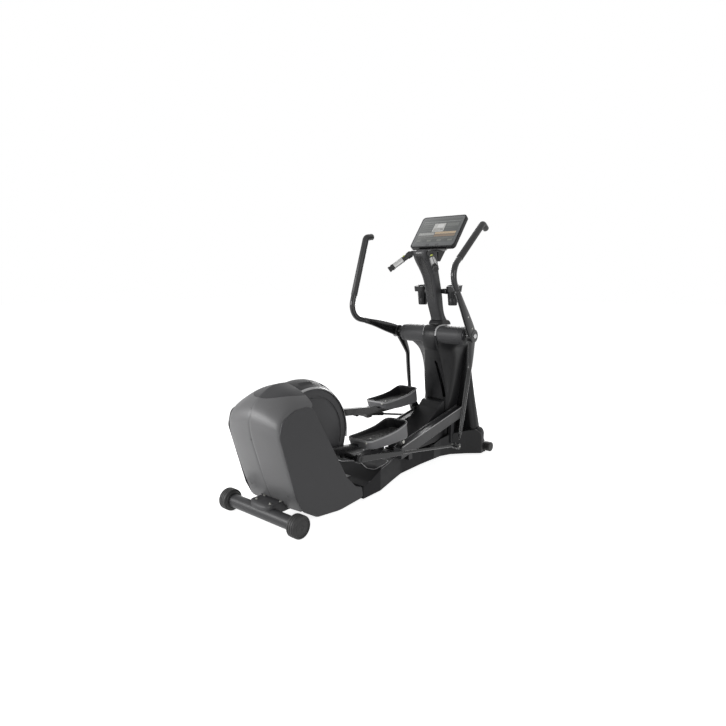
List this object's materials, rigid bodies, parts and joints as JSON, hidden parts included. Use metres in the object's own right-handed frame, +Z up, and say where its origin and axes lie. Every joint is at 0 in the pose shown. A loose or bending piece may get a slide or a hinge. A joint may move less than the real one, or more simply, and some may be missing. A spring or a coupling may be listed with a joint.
{
  "type": "rear-drive elliptical trainer",
  "caption": "Rear-drive elliptical trainer: swing arms and pedal arms linked to a crank behind, rollers on sloping rails, console on a mast, fixed handlebar and cup holders.",
  "frame": {"origin": "centre of the overall box at floor level", "axes": "+X to the user's right, +Y forward towards the console, +Z up"},
  "size_m": [0.7818, 2.0888, 1.7407],
  "materials": {
    "frame_steel": "semi-gloss black powder coat",
    "arm_steel": "gloss black paint",
    "bright_steel": "turned bright steel",
    "sensor_steel": "brushed stainless sheet",
    "rail_steel": "satin dark grey paint",
    "cast_wheel": "machined grey iron",
    "grey_shell": "satin mid-grey moulded plastic",
    "dark_shell": "fine-grained dark grey moulded plastic",
    "black_shell": "satin black moulded plastic",
    "screen": "glossy display window",
    "pad_rubber": "ribbed black rubber",
    "grip_foam": "dipped black grip",
    "tyre_rubber": "moulded rubber",
    "button_plastic": "yellow-green button cap",
    "key_plastic": "soft-touch grey keycap",
    "belt_rubber": "ribbed drive belt"
  },
  "bodies": {
    "frame": {"main_frame": "frame_steel", "rear_stabiliser_tube": "frame_steel", "rear_stabiliser_caps": "tyre_rubber", "rear_mount_saddle": "dark_shell", "front_stabiliser": "frame_steel", "front_stabiliser_caps": "tyre_rubber", "guide_rails": "rail_steel", "ramp_cover": "black_shell", "rear_base_cover": "black_shell", "front_base_cover": "black_shell", "tower_rear_cover": "black_shell", "tower_front_cover": "black_shell", "pivot_shafts": "bright_steel", "cross_tube_cover": "dark_shell", "mast_post": "frame_steel", "mast_cover": "dark_shell", "mast_collar": "black_shell", "fixed_handlebar": "arm_steel", "pulse_sensor_plates": "sensor_steel", "fixed_handlebar_end_caps": "grip_foam", "cup_holders": "black_shell", "console_housing": "black_shell", "console_bezel": "black_shell", "console_screen": "screen", "console_stand_cover": "black_shell", "rear_cover": "grey_shell", "top_lid": "dark_shell", "drum_hoop": "dark_shell", "side_cover_right": "dark_shell", "side_cover_left": "dark_shell", "frame_bearings": "bright_steel", "drive_belt": "belt_rubber", "eddy_brake": "frame_steel"},
    "crank": {"crank_axle": "bright_steel", "crank_disc_right": "frame_steel", "crank_disc_left": "frame_steel", "drive_pulley": "black_shell"},
    "flywheel": {"flywheel": "cast_wheel"},
    "pedal_arm_right": {"pedal_arm_right": "arm_steel", "pedal_right": "black_shell", "pedal_pad_right": "pad_rubber"},
    "pedal_arm_left": {"pedal_arm_left": "arm_steel", "pedal_left": "black_shell", "pedal_pad_left": "pad_rubber"},
    "roller_right": {"roller_right": "tyre_rubber"},
    "roller_left": {"roller_left": "tyre_rubber"},
    "link_right": {"link_right": "arm_steel"},
    "link_left": {"link_left": "arm_steel"},
    "swing_arm_right": {"swing_arm_right": "arm_steel", "grip_right": "grip_foam"},
    "swing_arm_left": {"swing_arm_left": "arm_steel", "grip_left": "grip_foam"},
    "transport_wheel_right": {"transport_wheel_right": "tyre_rubber"},
    "transport_wheel_left": {"transport_wheel_left": "tyre_rubber"},
    "levelling_foot_right": {"levelling_foot_right": "tyre_rubber"},
    "levelling_foot_left": {"levelling_foot_left": "tyre_rubber"},
    "remote_button_right": {"remote_button_right": "button_plastic"},
    "remote_button_left": {"remote_button_left": "button_plastic"},
    "console_key_left": {"console_key_left": "key_plastic"},
    "console_key_right": {"console_key_right": "key_plastic"}
  },
  "joints": [
    {"name": "crank_turn", "type": "hinge", "parent": "frame", "child": "crank", "pos_m": [0, -0.694, 0.424], "axis": [-1, 0, 0], "range_deg": [0, 180]},
    {"name": "flywheel_turn", "type": "hinge", "parent": "frame", "child": "flywheel", "pos_m": [0, -0.774, 0.222], "axis": [-1, 0, 0], "range_deg": [0, 1038.6]},
    {"name": "pedal_slide_right", "type": "slide", "parent": "frame", "child": "pedal_arm_right", "axis": [0, 0.9806, 0.1961], "range_m": [0, 0.5303]},
    {"name": "roller_turn_right", "type": "hinge", "parent": "pedal_arm_right", "child": "roller_right", "pos_m": [0.13, 0.081, 0.24513], "axis": [-1, 0, 0], "range_deg": [0, 949.6]},
    {"name": "link_swing_right", "type": "hinge", "parent": "pedal_arm_right", "child": "link_right", "pos_m": [0.24, -0.461, 0.281], "axis": [1, 0, 0], "range_deg": [-6.42, 0]},
    {"name": "arm_swing_right", "type": "hinge", "parent": "frame", "child": "swing_arm_right", "pos_m": [0.32, 0.629, 0.907], "axis": [1, 0, 0], "range_deg": [0, 39]},
    {"name": "transport_wheel_turn_right", "type": "hinge", "parent": "frame", "child": "transport_wheel_right", "pos_m": [0.205, 1.019, 0.056], "axis": [1, 0, 0], "continuous": true},
    {"name": "levelling_foot_turn_right", "type": "hinge", "parent": "frame", "child": "levelling_foot_right", "pos_m": [0.242, 0.962, 0], "axis": [0, 0, 1], "continuous": true},
    {"name": "remote_button_press_right", "type": "slide", "parent": "frame", "child": "remote_button_right", "axis": [-0.2779, 0.5573, -0.7824], "range_m": [0, 0.0015], "stiffness_N_per_m": 500, "springref_m": -0.0015},
    {"name": "pedal_slide_left", "type": "slide", "parent": "frame", "child": "pedal_arm_left", "axis": [0, 0.9806, 0.1961], "range_m": [-0.5303, 0]},
    {"name": "roller_turn_left", "type": "hinge", "parent": "pedal_arm_left", "child": "roller_left", "pos_m": [-0.13, 0.601, 0.34913], "axis": [-1, 0, 0], "range_deg": [-949.6, 0]},
    {"name": "link_swing_left", "type": "hinge", "parent": "pedal_arm_left", "child": "link_left", "pos_m": [-0.24, 0.059, 0.385], "axis": [1, 0, 0], "range_deg": [0, 6.42]},
    {"name": "arm_swing_left", "type": "hinge", "parent": "frame", "child": "swing_arm_left", "pos_m": [-0.32, 0.629, 0.907], "axis": [1, 0, 0], "range_deg": [-39, 0]},
    {"name": "transport_wheel_turn_left", "type": "hinge", "parent": "frame", "child": "transport_wheel_left", "pos_m": [-0.205, 1.019, 0.056], "axis": [1, 0, 0], "continuous": true},
    {"name": "levelling_foot_turn_left", "type": "hinge", "parent": "frame", "child": "levelling_foot_left", "pos_m": [-0.242, 0.962, 0], "axis": [0, 0, 1], "continuous": true},
    {"name": "remote_button_press_left", "type": "slide", "parent": "frame", "child": "remote_button_left", "axis": [0.2779, 0.5573, -0.7824], "range_m": [0, 0.0015], "stiffness_N_per_m": 500, "springref_m": -0.0015},
    {"name": "console_key_press_left", "type": "slide", "parent": "frame", "child": "console_key_left", "axis": [0, 0.7869, -0.617], "range_m": [0, 0.0015], "stiffness_N_per_m": 500, "springref_m": -0.0015},
    {"name": "console_key_press_right", "type": "slide", "parent": "frame", "child": "console_key_right", "axis": [0, 0.7869, -0.617], "range_m": [0, 0.0015], "stiffness_N_per_m": 500, "springref_m": -0.0015}
  ],
  "couplings": [
    {"joint": "flywheel_turn", "follows": "crank_turn", "ratio": 5.7692},
    {"joint": "pedal_slide_right", "follows": "crank_turn", "m_per_rad": 0.1688},
    {"joint": "pedal_slide_left", "follows": "crank_turn", "m_per_rad": -0.1688},
    {"joint": "roller_turn_right", "follows": "crank_turn", "ratio": 5.2745},
    {"joint": "roller_turn_left", "follows": "crank_turn", "ratio": -5.2745},
    {"joint": "link_swing_right", "follows": "crank_turn", "ratio": -0.035555},
    {"joint": "link_swing_left", "follows": "crank_turn", "ratio": 0.035555},
    {"joint": "arm_swing_right", "follows": "crank_turn", "ratio": 0.21645},
    {"joint": "arm_swing_left", "follows": "crank_turn", "ratio": -0.21645}
  ]
}
